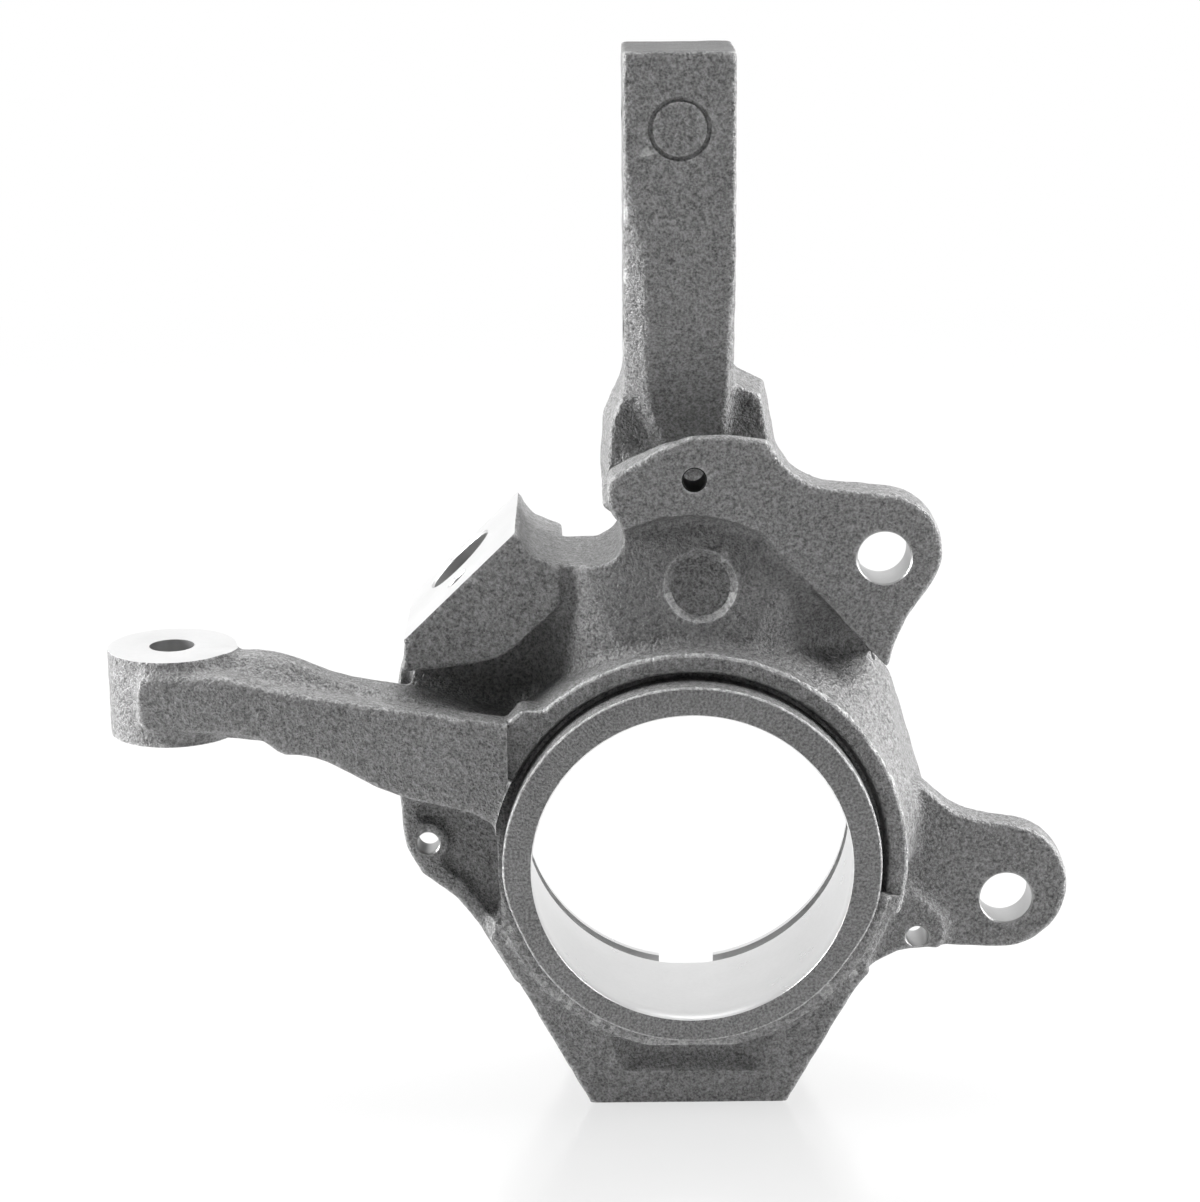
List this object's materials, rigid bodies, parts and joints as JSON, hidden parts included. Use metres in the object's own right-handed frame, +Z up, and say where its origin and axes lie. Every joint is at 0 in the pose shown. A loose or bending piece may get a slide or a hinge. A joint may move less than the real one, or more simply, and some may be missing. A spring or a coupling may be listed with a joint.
{
  "type": "steering knuckle",
  "caption": "Cast steering knuckle for a strut front suspension, with a wheel bearing bore, strut arm, caliper ears, steering arm and a milled foot.",
  "frame": {"origin": "on the wheel bearing's axis, in the front face of the hub ring", "axes": "+Z up along the strut arm, -Y out to the wheel along the bearing's axis, +Y inboard, +X to the caliper ears"},
  "size_m": [0.2272, 0.06, 0.2483],
  "materials": {
    "cast_iron": "as cast, sand texture; seats and ends milled bright"
  },
  "bodies": {
    "root": {"knuckle": "cast_iron"}
  },
  "joints": []
}
